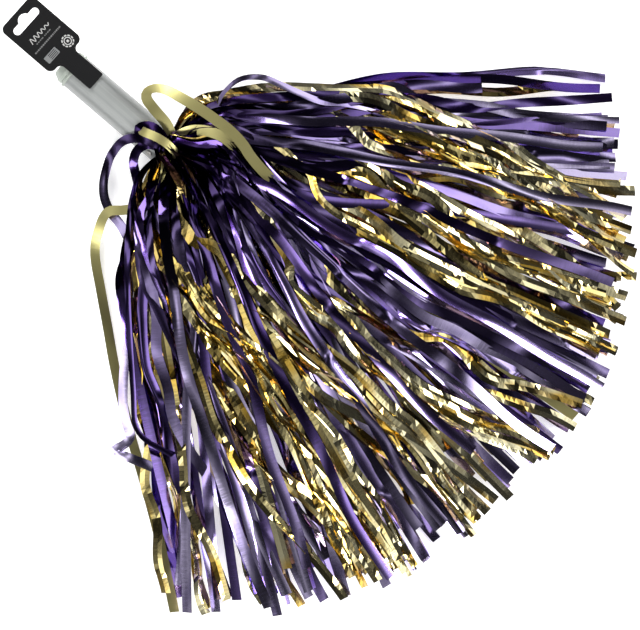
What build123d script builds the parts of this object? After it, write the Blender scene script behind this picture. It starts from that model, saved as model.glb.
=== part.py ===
from build123d import *
import math
import os

os.makedirs("parts", exist_ok=True)

# ---------------------------------------------------------------- driving dimensions (mm, degrees)
# The pom pom lies on its side. Local frame: x along the handle from the end cap to the streamers,
# z up, z = 0 on the surface it lies on, and x = y = 0 at the throat where the streamers are gathered.
SHIFT_X = -128.65         # local frame to row frame: puts the box's centre over the origin
SHIFT_Y = 5.07

TUBE_R = 15.875           # 31.75 mm (1 1/4 in) handle tube
TUBE_BORE_R = 15.0
TUBE_X0 = -108.5          # end that takes the cap
TUBE_X1 = -2.7            # mouth that takes the streamers
FLANGE_R = 17.1           # end cap flange, the handle's widest ring
AXIS_Z = FLANGE_R         # handle axis height when the flange lies on the surface
CAP_PLUG_R = 14.97
CAP_PLUG_LEN = 12.0
CAP_FLANGE_T = 2.3
CAP_RING_R = 16.1         # low pale ring just outside the flange
CAP_NOSE_X = -121.5
CAP_WALL = 1.2

TAG_ROLL = 18.0           # the hang tag is stuck on this far round from the top of the tube
TAG_DIST = 17.3           # handle axis to underside of the tag
TAG_T = 0.5
TAG_X0 = -182.2           # outer end of the tag plate
TAG_X1 = -122.7           # shoulder of the tag plate
TAG_W = 44.0
TAG_CORNER_R = 6.0
TAIL_W = 18.6
TAIL_X1 = -88.0
NECK_FILLET_R = 5.0
SLOT_X = -169.9           # hang slot centre
SLOT_W = 32.0
SLOT_H = 7.4
BUMP_R = 7.0
BUMP_SHIFT = 0.6
FLEX_X = -113.5           # line where the tag bends
FLEX_GAP = 0.6

HEADER_X0 = -27.0         # wound header of the streamer film inside the mouth
HEADER_X1 = -3.0
CORE_R = 5.0
GOLD_ROLL_R = 9.9
PURPLE_ROLL_R = 14.9
RIVET_X = -12.0
RIVET_ANGLE = -50.0       # from the top, towards -y
RIVET_R = 1.2
RIVET_HOLE_R = 1.3
RIVET_HEAD_R = 3.0
RIVET_HEAD_H = 1.1

THROAT_END_R = 23.2       # the gathered streamers end on this radius about the swing axis
FAN_R0 = 24.0             # the fan layers begin here

STRIP_W = 9.0             # width of one streamer
FILM_T = 1.3              # thickness of a fan layer's solid
# centre height of each fan layer at these distances from the swing axis
PROFILE_R = [24.0, 60.0, 110.0, 200.0, 320.0, 460.0]
PROFILE_Z = [
    [7.0, 2.2, 0.65, 0.65, 0.65, 0.65],
    [12.0, 8.6, 6.6, 4.8, 4.0, 3.4],
    [17.0, 16.2, 13.8, 10.0, 7.8, 6.4],
    [22.0, 24.4, 21.6, 16.0, 12.0, 9.6],
    [27.0, 32.8, 29.8, 22.4, 16.4, 12.8],
    [32.0, 41.4, 38.2, 29.0, 21.0, 16.2],
    [38.0, 50.0, 46.6, 35.6, 25.6, 19.6],
]
COLOURS = ["purple", "gold", "purple", "gold", "purple", "gold", "purple"]
TIP_R = [(-78, 408), (-48, 410), (-38, 425), (-21, 434), (-7, 438), (14, 442), (22, 435), (30, 424), (48, 408),
         (80, 380)]
# extra streamers that lie outside the fan, as (angle, length) for each layer
STRAYS = [
    [(-54.0, 382.0), (-61.0, 262.0)],
    [(-57.5, 300.0), (53.0, 300.0)],
    [(-52.5, 384.0), (-64.5, 215.0)],
    [(-57.0, 280.0)],
    [(55.5, 262.0)],
    [(-54.5, 290.0)],
    [(-53.0, 330.0), (54.0, 250.0)],
]


# ---------------------------------------------------------------- helpers
def place(shape):
    return Pos(SHIFT_X, SHIFT_Y, 0) * shape


def cyl_x(radius, x0, x1):
    return Pos((x0 + x1) / 2, 0, AXIS_Z) * Rot(0, 90, 0) * Cylinder(radius, x1 - x0)


def revolve_x(points):
    """A solid turned about the handle axis from (x, r) points."""
    outline = Polyline(*[(x, r) for x, r in points], close=True)
    face = make_face(Plane.XY * outline)
    return Pos(0, 0, AXIS_Z) * revolve(face, Axis.X, 360)


def save(shape, name):
    shape = place(shape)
    solids = shape.solids()
    out = solids[0] if len(solids) == 1 else Compound(children=list(solids))
    export_step(out, f"parts/{name}.step")
    box = out.bounding_box()
    BOXES.append((box.min, box.max))
    print(name, len(solids), "solids", round(sum(s.volume for s in solids), 1), "mm3",
          [round(v, 1) for v in (box.min.X, box.min.Y, box.min.Z, box.max.X, box.max.Y, box.max.Z)])


def interp(table, at):
    for (a, va), (b, vb) in zip(table[:-1], table[1:]):
        if at <= b:
            return va + (vb - va) * max(0.0, (at - a) / (b - a))
    return table[-1][1]


def polyhedron(rings):
    """A closed solid from cross-sections of four corners each."""
    faces = []

    def tri(a, b, c):
        faces.append(Face(Wire.make_polygon([Vector(*a), Vector(*b), Vector(*c)], close=True)))

    for p, q in zip(rings[:-1], rings[1:]):
        for i in range(4):
            j = (i + 1) % 4
            tri(p[i], q[i], q[j])
            tri(p[i], q[j], p[j])
    for ring in (rings[0], rings[-1]):
        tri(ring[0], ring[1], ring[2])
        tri(ring[0], ring[2], ring[3])
    solid = Solid(Shell(faces))
    return solid if solid.volume > 0 else Solid(Shell([-f for f in faces]))


def ribbon(points, ups, width=STRIP_W, thick=0.6):
    """A streamer bent through points. ups gives the way its face looks at each point."""
    rings = []
    n = len(points)
    for i in range(n):
        a, b = Vector(*points[max(i - 1, 0)]), Vector(*points[min(i + 1, n - 1)])
        t = (b - a).normalized()
        u = Vector(*ups[i])
        side = t.cross(u).normalized()
        up = side.cross(t).normalized()
        c = Vector(*points[i])
        h, w = thick / 2, width / 2
        rings.append([tuple(c + side * sw * w + up * su * h)
                      for sw, su in ((1, 1), (-1, 1), (-1, -1), (1, -1))])
    return polyhedron(rings)


BOXES = []

# ---------------------------------------------------------------- handle
rivet_dir = Vector(0, math.sin(math.radians(RIVET_ANGLE)), math.cos(math.radians(RIVET_ANGLE)))
rivet_turn = Pos(RIVET_X, 0, AXIS_Z) * Rot(-RIVET_ANGLE, 0, 0)
rivet_hole = rivet_turn * Cylinder(RIVET_HOLE_R, 60)

tube = cyl_x(TUBE_R, TUBE_X0, TUBE_X1) - cyl_x(TUBE_BORE_R, TUBE_X0 - 1, TUBE_X1 + 1) - rivet_hole
save(tube, "handle_tube")

cap = revolve_x([
    (TUBE_X0 + CAP_PLUG_LEN, CAP_PLUG_R - CAP_WALL),
    (TUBE_X0 + CAP_PLUG_LEN, CAP_PLUG_R - 0.5),
    (TUBE_X0 + CAP_PLUG_LEN - 1.5, CAP_PLUG_R),
    (TUBE_X0 - 0.03, CAP_PLUG_R),
    (TUBE_X0 - 0.03, FLANGE_R - 0.4),
    (TUBE_X0 - 0.45, FLANGE_R),
    (TUBE_X0 - CAP_FLANGE_T + 0.4, FLANGE_R),
    (TUBE_X0 - CAP_FLANGE_T, FLANGE_R - 0.4),
    (TUBE_X0 - CAP_FLANGE_T, CAP_RING_R - 0.9),
    (TUBE_X0 - CAP_FLANGE_T - 1.0, CAP_RING_R - 0.9),
    (TUBE_X0 - CAP_FLANGE_T - 1.0, CAP_RING_R - 0.3),
    (TUBE_X0 - CAP_FLANGE_T - 1.3, CAP_RING_R),
    (TUBE_X0 - CAP_FLANGE_T - 4.2, CAP_RING_R),
    (-117.5, 14.6),
    (CAP_NOSE_X + 1.4, 13.4),
    (CAP_NOSE_X, 12.0),
    (CAP_NOSE_X, 0.0),
    (CAP_NOSE_X + 1.3, 0.0),
    (CAP_NOSE_X + 1.3, 11.4),
    (CAP_NOSE_X + 2.4, 12.3),
    (-117.0, 13.3),
    (TUBE_X0 - CAP_FLANGE_T, CAP_PLUG_R - CAP_WALL),
])
save(cap, "end_cap")

core = cyl_x(CORE_R, HEADER_X0, HEADER_X1) - rivet_hole
save(core, "core_plug")
gold_roll = cyl_x(GOLD_ROLL_R, HEADER_X0, HEADER_X1) - cyl_x(CORE_R + 0.05, HEADER_X0 - 1, HEADER_X1 + 1) - rivet_hole
save(gold_roll, "header_roll_gold")
purple_roll = (cyl_x(PURPLE_ROLL_R, HEADER_X0, HEADER_X1)
               - cyl_x(GOLD_ROLL_R + 0.05, HEADER_X0 - 1, HEADER_X1 + 1) - rivet_hole)
save(purple_roll, "header_roll_purple")

shank = Cylinder(RIVET_R, 2 * (TUBE_R + RIVET_HEAD_H - 0.3))
seat = Rot(0, 90, 0) * Cylinder(TUBE_R + 0.03, 40)
heads = []
for side in (1, -1):
    head = Pos(0, 0, side * (TUBE_R - 0.2 + (RIVET_HEAD_H + 0.2) / 2)) * Cylinder(RIVET_HEAD_R, RIVET_HEAD_H + 0.2)
    crown = head.edges().filter_by(GeomType.CIRCLE).sort_by(Axis.Z)[-1 if side > 0 else 0]
    head = fillet(crown, 0.8)
    heads.append(head - seat)
rivet = rivet_turn * (shank + heads[0] + heads[1])
save(rivet, "retaining_rivet")

# ---------------------------------------------------------------- gathered streamers
neck_profile = [(HEADER_X1 + 0.1, 0.0), (HEADER_X1 + 0.1, 14.3), (6.0, 14.6), (14.0, 15.4), (26.0, 16.6), (26.0, 0.0)]
throat = revolve_x(neck_profile) & (Pos(0, 0, AXIS_Z) * Cylinder(THROAT_END_R, 60))
save(throat, "gathered_streamers")


# ---------------------------------------------------------------- hang tag
def tag_plane(distance):
    """Plane of the tag at this distance from the handle axis: its x runs along the handle, its y across the card."""
    roll = math.radians(TAG_ROLL)
    n = Vector(0, math.sin(roll), math.cos(roll))
    return Plane(origin=Vector(0, 0, AXIS_Z) + n * distance, x_dir=(1, 0, 0), z_dir=n)


tag_outline = Pos((TAG_X0 + TAG_X1) / 2, 0) * RectangleRounded(TAG_X1 - TAG_X0, TAG_W, TAG_CORNER_R)
tail = Pos((TAG_X1 - 3 + TAIL_X1) / 2, 0) * Rectangle(TAIL_X1 - TAG_X1 + 3, TAIL_W)
flat = tag_outline + tail
inner = [v for v in flat.vertices() if abs(v.X - TAG_X1) < 0.01 and abs(abs(v.Y) - TAIL_W / 2) < 0.01]
flat = fillet(inner, NECK_FILLET_R)
slot = Pos(SLOT_X, 0) * SlotOverall(SLOT_W, SLOT_H, rotation=90)
bump = (Pos(SLOT_X - BUMP_SHIFT, 0) * Circle(BUMP_R)) & (Pos(SLOT_X + SLOT_H / 2 - 20, 0) * Rectangle(40, 40))
flat = flat - slot - bump
card = extrude(tag_plane(TAG_DIST) * flat, TAG_T)
cut = tag_plane(TAG_DIST + TAG_T / 2) * (Pos(FLEX_X, 0, 0) * Box(FLEX_GAP, 60, 5))
left = tag_plane(TAG_DIST + TAG_T / 2) * (Pos(FLEX_X - 50, 0, 0) * Box(100, 90, 5))
save((card - cut) & left, "tag_plate")
save((card - cut) - left, "tag_tail")

pad_len = 17.0
pad = tag_plane(TAG_DIST) * (Pos(TAIL_X1 - 2.0 - pad_len / 2, 0, -2.0) * Box(pad_len, 12.0, 4.0))
pad = pad - cyl_x(TUBE_R + 0.01, TUBE_X0, TUBE_X1)
pad = pad & (tag_plane(TAG_DIST) * (Pos(TAIL_X1 - 2.0 - pad_len / 2, 0, -2.0) * Box(pad_len, 12.0, 4.0)))
save(pad, "tag_adhesive_pad")

label = Pos(-133.0, -8.5) * RectangleRounded(7.0, 15.0, 0.8)
save(extrude(tag_plane(TAG_DIST + TAG_T) * label, 0.12), "tag_foil_label")


# ---------------------------------------------------------------- fan layers of streamers
def dome(zs):
    """A thin shell turned about the swing axis: the height the layer lies at."""
    low = [(r, z - FILM_T / 2) for r, z in zip(PROFILE_R, zs)]
    high = [(r, z + FILM_T / 2) for r, z in zip(PROFILE_R, zs)]
    outline = Polyline(*low, *reversed(high), close=True)
    face = make_face(Plane.XZ * outline)
    return revolve(face, Axis.Z, 360)


def jitter(k, i, spread):
    """A fixed uneven offset for streamer i of layer k."""
    return spread * math.sin(12.9898 * (k + 1) + 78.233 * (i + 1))


def finger(angle, length, start):
    """The outline of one streamer, lying along angle from start to length."""
    return Rot(0, 0, angle) * (Pos((start + length) / 2, 0) * Rectangle(length - start, STRIP_W))


STEP_DEG = 4.9
for k, zs in enumerate(PROFILE_Z):
    web_r = 92.0
    lo, hi = -50.0, 49.0
    sector = [(0, 0)] + [(web_r * math.cos(math.radians(a)), web_r * math.sin(math.radians(a)))
                         for a in [lo + (hi - lo) * j / 24 for j in range(25)]]
    plan = make_face(Polyline(*sector, close=True))
    n = int((hi - lo) / STEP_DEG)
    for i in range(n + 1):
        angle = lo + 1.6 + STEP_DEG * i + STEP_DEG * 0.5 * ((k % 2) if i < n else 0) * 0.9
        angle = min(angle, hi - 1.2)
        length = interp(TIP_R, angle) - 6 + jitter(k, i, 6.0)
        plan += finger(angle, length, 40.0)
    for angle, length in STRAYS[k]:
        plan += finger(angle, length, 6.0)
        plan += finger(angle * 0.93, 56.0, 6.0)
    prism = extrude(plan, 80)
    layer = dome(zs) & prism
    solids = sorted(layer.solids(), key=lambda s: -s.volume)
    save(solids[0] if len(solids) == 1 else Compound(children=solids), f"streamer_layer_{k + 1}_{COLOURS[k]}")

# ---------------------------------------------------------------- streamers that curl back over the handle
save(ribbon([(6, 12.5, 30.5), (-12, 16, 41), (-30, 21, 52), (-44, 26, 58), (-47, 31, 60), (-40, 36, 61),
             (-16, 43, 60), (10, 47, 57), (34, 48, 53), (54, 43, 52.2)],
            [(0, 0, 1), (0.5, -0.3, 0.8), (0.5, -0.6, 0.6), (0.2, -0.9, 0.3), (-0.9, 0.1, 0.4), (-0.3, 0.6, 0.7),
             (0, 0, 1), (0, 0, 1), (0, 0, 1), (0, 0, 1)]), "loop_streamer_gold")
save(ribbon([(8, 3, 33.6), (-6, 4, 38.6), (-18, 2, 40.8), (-27, -1, 38.4), (-28, -3, 36.2)],
            [(-0.3, 0, 1), (-0.4, 0, 1), (0, 0, 1), (-0.7, 0, 0.7), (-1, 0, 0.1)], width=8.6), "curl_streamer_gold")
save(ribbon([(9, 20.5, 27), (2, 27, 32), (12, 40, 40), (34, 56, 44), (60, 66, 43)],
            [(0.2, 0.6, 0.7), (-0.6, 0.3, 0.7), (-0.4, 0.2, 0.9), (0, 0, 1), (0, 0, 1)]), "loop_streamer_purple")

lo = [min(b[0].X for b in BOXES), min(b[0].Y for b in BOXES), min(b[0].Z for b in BOXES)]
hi = [max(b[1].X for b in BOXES), max(b[1].Y for b in BOXES), max(b[1].Z for b in BOXES)]
print("box", [round(v, 3) for v in lo], [round(v, 3) for v in hi],
      "centre", round((lo[0] + hi[0]) / 2, 3), round((lo[1] + hi[1]) / 2, 3))
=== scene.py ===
import math
import random

import bmesh
import bpy
import numpy as np
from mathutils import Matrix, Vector


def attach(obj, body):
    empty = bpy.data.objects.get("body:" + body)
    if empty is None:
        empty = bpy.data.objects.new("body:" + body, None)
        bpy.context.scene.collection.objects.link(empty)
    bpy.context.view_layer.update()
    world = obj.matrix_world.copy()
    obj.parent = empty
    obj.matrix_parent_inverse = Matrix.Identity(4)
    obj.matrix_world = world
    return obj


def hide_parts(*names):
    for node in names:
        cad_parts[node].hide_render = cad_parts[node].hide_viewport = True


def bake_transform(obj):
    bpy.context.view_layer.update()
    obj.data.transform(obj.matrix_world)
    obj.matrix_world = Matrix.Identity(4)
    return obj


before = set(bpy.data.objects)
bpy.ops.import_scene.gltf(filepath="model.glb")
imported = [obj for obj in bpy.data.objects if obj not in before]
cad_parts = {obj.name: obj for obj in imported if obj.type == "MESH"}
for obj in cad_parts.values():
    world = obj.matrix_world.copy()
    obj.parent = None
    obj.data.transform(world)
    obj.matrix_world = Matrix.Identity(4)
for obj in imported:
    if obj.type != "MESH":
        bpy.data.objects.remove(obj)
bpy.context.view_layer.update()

random.seed(4127)

# ---------------------------------------------------------------- frame of the object
# Local millimetres: x runs along the handle from its cap to the streamers, the handle's
# mouth is at x = y = 0 and the floor is z = 0. The row frame is the same, shifted.
SHIFT_X, SHIFT_Y = -128.65, 5.07
MM = 0.001


def row(p):
    return ((p[0] + SHIFT_X) * MM, (p[1] + SHIFT_Y) * MM, p[2] * MM)


WIDTH = 9.0  # one streamer, mm
PI = math.pi

# centre heights of the seven layers against the distance from the mouth
PROFILE_R = [0, 24, 60, 110, 200, 320, 460]
PROFILE_Z = {
    1: [9, 7, 2.4, 1.2, 1.0, 1.0, 1.0],
    2: [12, 12, 8.6, 6.6, 4.8, 4.0, 3.4],
    3: [15, 17, 16.2, 13.8, 10, 7.8, 6.4],
    4: [18, 22, 24.4, 21.6, 16, 12, 9.6],
    5: [22, 27, 32.8, 29.8, 22.4, 16.4, 12.8],
    6: [26, 32, 41.4, 38.2, 29, 21, 16.2],
    7: [29, 38, 50, 46.6, 35.6, 25.6, 19.6],
}
TIP_R = [
    (-78, 408), (-48, 410), (-38, 425), (-21, 434), (-7, 438),
    (14, 442), (22, 435), (30, 424), (48, 408), (80, 380),
]


def lerp_table(xs, ys, x):
    if x <= xs[0]:
        return ys[0]
    for i in range(1, len(xs)):
        if x <= xs[i]:
            f = (x - xs[i - 1]) / (xs[i] - xs[i - 1])
            return ys[i - 1] + (ys[i] - ys[i - 1]) * f
    return ys[-1]


def smooth_table(xs, ys, x):
    if x <= xs[0]:
        return ys[0]
    for i in range(1, len(xs)):
        if x <= xs[i]:
            f = (x - xs[i - 1]) / (xs[i] - xs[i - 1])
            return ys[i - 1] + (ys[i] - ys[i - 1]) * f * f * (3 - 2 * f)
    return ys[-1]


def layer_z(layer, r):
    """Height of a layer, which may be a fraction between two layers."""
    a = max(1, min(7, int(math.floor(layer))))
    b = min(7, a + 1)
    f = layer - a
    za = lerp_table(PROFILE_R, PROFILE_Z[a], r)
    zb = lerp_table(PROFILE_R, PROFILE_Z[b], r)
    return za + (zb - za) * f


def tip_r(theta):
    return lerp_table([t[0] for t in TIP_R], [t[1] for t in TIP_R], theta)


def polar(theta, r):
    a = math.radians(theta)
    return (r * math.cos(a), r * math.sin(a))


# ---------------------------------------------------------------- curves
def catmull(points, step=4.5):
    """Points resampled evenly along a centripetal-like Catmull-Rom curve."""
    pts = [np.array(p, float) for p in points]
    if len(pts) < 3:
        dense = [pts[0] + (pts[-1] - pts[0]) * k / 40 for k in range(41)]
    else:
        ext = [2 * pts[0] - pts[1]] + pts + [2 * pts[-1] - pts[-2]]
        dense = []
        for i in range(1, len(ext) - 2):
            p0, p1, p2, p3 = ext[i - 1], ext[i], ext[i + 1], ext[i + 2]
            t0 = 0.0
            t1 = t0 + max(1e-6, np.linalg.norm(p1 - p0)) ** 0.5
            t2 = t1 + max(1e-6, np.linalg.norm(p2 - p1)) ** 0.5
            t3 = t2 + max(1e-6, np.linalg.norm(p3 - p2)) ** 0.5
            n = max(4, int(np.linalg.norm(p2 - p1) / 2))
            for k in range(n):
                t = t1 + (t2 - t1) * k / n
                a1 = (t1 - t) / (t1 - t0) * p0 + (t - t0) / (t1 - t0) * p1
                a2 = (t2 - t) / (t2 - t1) * p1 + (t - t1) / (t2 - t1) * p2
                a3 = (t3 - t) / (t3 - t2) * p2 + (t - t2) / (t3 - t2) * p3
                b1 = (t2 - t) / (t2 - t0) * a1 + (t - t0) / (t2 - t0) * a2
                b2 = (t3 - t) / (t3 - t1) * a2 + (t - t1) / (t3 - t1) * a3
                dense.append((t2 - t) / (t2 - t1) * b1 + (t - t1) / (t2 - t1) * b2)
        dense.append(pts[-1])
    return even(dense, step)


def even(dense, step):
    d = np.array(dense, float)
    seg = np.linalg.norm(np.diff(d, axis=0), axis=1)
    s = np.concatenate([[0], np.cumsum(seg)])
    n = max(4, int(round(s[-1] / step)))
    t = np.linspace(0, s[-1], n + 1)
    return np.stack([np.interp(t, s, d[:, k]) for k in range(d.shape[1])], axis=1)


def bezier(p0, p1, p2, p3, step=4.5):
    t = np.linspace(0, 1, 90)[:, None]
    p0, p1, p2, p3 = (np.array(p, float) for p in (p0, p1, p2, p3))
    d = (1 - t) ** 3 * p0 + 3 * (1 - t) ** 2 * t * p1 + 3 * (1 - t) * t * t * p2 + t**3 * p3
    return even(d, step)


def knots(length, gap_low, gap_high, spread, start=0.0):
    """A random piecewise-linear curve of an angle along a strip."""
    xs, ys = [0.0], [start]
    while xs[-1] < length:
        xs.append(xs[-1] + random.uniform(gap_low, gap_high))
        ys.append(random.uniform(-spread, spread))
    return xs, ys


# ---------------------------------------------------------------- one streamer
class Bundle:
    """Streamers of one colour in one layer, gathered into one mesh."""

    def __init__(self, name):
        self.name = name
        self.co, self.faces, self.uv, self.rand, self.soft = [], [], [], [], []
        self.count, self.length = 0, 0.0

    def strip(self, path, roll, delta, width=WIDTH, segs=4, skew=0.0, split=False, soft=True, matt=0.0):
        """path is N x 3. roll and delta are functions of (arc length, segment). split keeps the long folds sharp."""
        p = np.array(path, float)
        n = len(p)
        tan = np.gradient(p, axis=0)
        tan /= np.linalg.norm(tan, axis=1)[:, None] + 1e-9
        base = len(self.co)
        seg = np.linalg.norm(np.diff(p, axis=0), axis=1)
        s = np.concatenate([[0], np.cumsum(seg)])
        r1, r2 = random.random(), random.random()
        h = width / segs
        side = None
        for i in range(n):
            t = tan[i]
            flat = np.array([t[1], -t[0], 0.0])
            m = float(np.linalg.norm(flat))
            if side is None:
                side = flat / m if m > 1e-6 else np.array([0.0, 1.0, 0.0])
            else:
                side = side - t * float(side @ t)
                if m > 0.5:
                    f2 = flat / m
                    if float(f2 @ side) < 0:
                        f2 = -f2
                    side = side * 0.86 + f2 * 0.14
                side = side / (np.linalg.norm(side) + 1e-9)
            up = np.cross(side, t)
            if i == 0 and up[2] < 0:
                side, up = -side, -up
            a0 = roll(s[i])
            row_pts = [np.zeros(3)]
            for j in range(segs):
                a = a0 + delta(s[i], j)
                row_pts.append(row_pts[-1] + h * (side * math.cos(a) + up * math.sin(a)))
            mid = row_pts[segs // 2] if segs % 2 == 0 else (row_pts[segs // 2] + row_pts[segs // 2 + 1]) / 2
            order = [k for j in range(segs) for k in (j, j + 1)] if split else range(segs + 1)
            for j in order:
                q = row_pts[j]
                w = p[i] + q - mid
                if i == n - 1 or i == 0:
                    w = w + t * skew * (j / segs - 0.5) * width
                w[2] = max(w[2], 0.25)
                self.co.append(row(w))
                self.uv.append((j / segs, s[i] / 100.0))
                self.rand.append((r1, r2, matt))
        per = 2 * segs if split else segs + 1
        for i in range(n - 1):
            for j in range(segs):
                a = base + i * per + (2 * j if split else j)
                self.faces.append((a, a + 1, a + per + 1, a + per))
                self.soft.append(soft)
        self.count += 1
        self.length += float(s[-1])

    def build(self, material):
        me = bpy.data.meshes.new(self.name)
        me.from_pydata(self.co, [], self.faces)
        uv = me.uv_layers.new(name="strip")
        idx = np.zeros(len(me.loops), np.int32)
        me.loops.foreach_get("vertex_index", idx)
        uv.data.foreach_set("uv", np.array(self.uv, np.float32)[idx].ravel())
        at = me.attributes.new("strip_rand", "FLOAT_COLOR", "POINT")
        rr = np.array([(a, b, c, 1.0) for a, b, c in self.rand], np.float32)
        at.data.foreach_set("color", rr.ravel())
        me.materials.append(material)
        me.polygons.foreach_set("use_smooth", np.array(self.soft, bool))
        me.update()
        o = bpy.data.objects.new(self.name, me)
        bpy.context.scene.collection.objects.link(o)
        return o


# ---------------------------------------------------------------- materials
def new_material(name):
    m = bpy.data.materials.new(name)
    m.use_nodes = True
    nt = m.node_tree
    return m, nt, nt.nodes["Principled BSDF"], nt.links


def film(name, base, dark, light, rough, coat, wrinkle, wrinkle_scale, deep, deep_amount, mouth_shade, mouth_shade_color, coat_ior):
    """Metallised film: a tinted metal with a clear face, a little different on each strip, with painted shade near the
    mouth and a painted highlight toward the tips.
    """
    m, nt, b, ln = new_material(name)
    b.inputs["Metallic"].default_value = 1.0
    b.inputs["Coat Weight"].default_value = coat
    b.inputs["Coat Roughness"].default_value = 0.06
    b.inputs["Coat IOR"].default_value = coat_ior
    at = nt.nodes.new("ShaderNodeAttribute")
    at.attribute_name = "strip_rand"
    sep = nt.nodes.new("ShaderNodeSeparateColor")
    ln.new(at.outputs["Color"], sep.inputs["Color"])
    ramp = nt.nodes.new("ShaderNodeValToRGB")
    ramp.color_ramp.elements[0].color = (*dark, 1)
    ramp.color_ramp.elements[1].color = (*light, 1)
    mid = ramp.color_ramp.elements.new(0.35)
    mid.color = (*base, 1)
    # the tint drifts along each strip; toward the tips it is pushed to the light tone as a painted highlight, and near
    # the mouth it is darkened as painted shade
    uvn = nt.nodes.new("ShaderNodeUVMap")
    uvn.uv_map = "strip"
    sxy = nt.nodes.new("ShaderNodeSeparateXYZ")
    ln.new(uvn.outputs["UV"], sxy.inputs["Vector"])
    # painted highlight: toward the tips each strip's tone is pushed toward the light colour, standing for brighter
    # reflections out there
    pale = nt.nodes.new("ShaderNodeMapRange")
    pale.inputs["From Min"].default_value = 2.0
    pale.inputs["From Max"].default_value = 4.3
    pale.inputs["To Min"].default_value = 0.0
    pale.inputs["To Max"].default_value = 0.36
    ln.new(sxy.outputs["Y"], pale.inputs["Value"])
    both = nt.nodes.new("ShaderNodeMath")
    both.operation = "ADD"
    ln.new(sep.outputs["Red"], both.inputs[0])
    ln.new(pale.outputs["Result"], both.inputs[1])
    ln.new(both.outputs["Value"], ramp.inputs["Fac"])
    thin = nt.nodes.new("ShaderNodeMapRange")
    thin.inputs["From Min"].default_value = 2.0
    thin.inputs["From Max"].default_value = 4.3
    thin.inputs["To Min"].default_value = 1.0
    thin.inputs["To Max"].default_value = 0.992
    ln.new(sxy.outputs["Y"], thin.inputs["Value"])
    ln.new(thin.outputs["Result"], b.inputs["Metallic"])
    # painted shade: near the mouth the base colour is mixed toward a dark tint, standing for the shadow inside the
    # packed film
    painted_shade = nt.nodes.new("ShaderNodeMapRange")
    painted_shade.interpolation_type = "SMOOTHSTEP"
    painted_shade.inputs["From Min"].default_value = 0.55
    painted_shade.inputs["From Max"].default_value = mouth_shade[1]
    painted_shade.inputs["To Min"].default_value = mouth_shade[0]
    painted_shade.inputs["To Max"].default_value = 0.0
    ln.new(sxy.outputs["Y"], painted_shade.inputs["Value"])
    # the clear coat is thinned near the mouth as well, dimming its reflection there along with the painted shade
    shine = nt.nodes.new("ShaderNodeMapRange")
    shine.inputs["From Min"].default_value = 0.4
    shine.inputs["From Max"].default_value = mouth_shade[1]
    shine.inputs["To Min"].default_value = coat * 0.12
    shine.inputs["To Max"].default_value = coat
    ln.new(sxy.outputs["Y"], shine.inputs["Value"])
    ln.new(shine.outputs["Result"], b.inputs["Coat Weight"])
    drift = nt.nodes.new("ShaderNodeTexNoise")
    drift.inputs["Scale"].default_value = 1.0
    drift.inputs["Detail"].default_value = 1.0
    mp2 = nt.nodes.new("ShaderNodeMapping")
    mp2.inputs["Scale"].default_value = (0.5, 2.2, 1)
    ln.new(uvn.outputs["UV"], mp2.inputs["Vector"])
    off = nt.nodes.new("ShaderNodeVectorMath")
    off.operation = "MULTIPLY_ADD"
    off.inputs[1].default_value = (61.0, 47.0, 29.0)
    ln.new(at.outputs["Color"], off.inputs[0])
    ln.new(mp2.outputs["Vector"], off.inputs[2])
    ln.new(off.outputs["Vector"], drift.inputs["Vector"])
    dr = nt.nodes.new("ShaderNodeValToRGB")
    dr.color_ramp.elements[0].position = 0.50
    dr.color_ramp.elements[0].color = (0, 0, 0, 1)
    dr.color_ramp.elements[1].position = 0.66
    dr.color_ramp.elements[1].color = (deep_amount, deep_amount, deep_amount, 1)
    ln.new(drift.outputs["Fac"], dr.inputs["Fac"])
    m1 = nt.nodes.new("ShaderNodeMix")
    m1.data_type = "RGBA"
    ln.new(dr.outputs["Color"], m1.inputs["Factor"])
    ln.new(ramp.outputs["Color"], m1.inputs["A"])
    m1.inputs["B"].default_value = (*deep, 1)
    m2 = nt.nodes.new("ShaderNodeMix")
    m2.data_type = "RGBA"
    ln.new(painted_shade.outputs["Result"], m2.inputs["Factor"])
    ln.new(m1.outputs["Result"], m2.inputs["A"])
    m2.inputs["B"].default_value = (*mouth_shade_color, 1)
    # the loose loops keep a more even, satin face
    m3 = nt.nodes.new("ShaderNodeMix")
    m3.data_type = "RGBA"
    ln.new(sep.outputs["Blue"], m3.inputs["Factor"])
    ln.new(m2.outputs["Result"], m3.inputs["A"])
    m3.inputs["B"].default_value = (0.45, 0.41, 0.175, 1)
    ln.new(m3.outputs["Result"], b.inputs["Base Color"])
    mr = nt.nodes.new("ShaderNodeMapRange")
    mr.inputs["To Min"].default_value = rough * 0.7
    mr.inputs["To Max"].default_value = rough * 1.5
    ln.new(sep.outputs["Green"], mr.inputs["Value"])
    satin = nt.nodes.new("ShaderNodeMath")
    satin.operation = "MULTIPLY_ADD"
    satin.inputs[1].default_value = 0.24
    ln.new(sep.outputs["Blue"], satin.inputs[0])
    ln.new(mr.outputs["Result"], satin.inputs[2])
    ln.new(satin.outputs["Value"], b.inputs["Roughness"])
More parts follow.
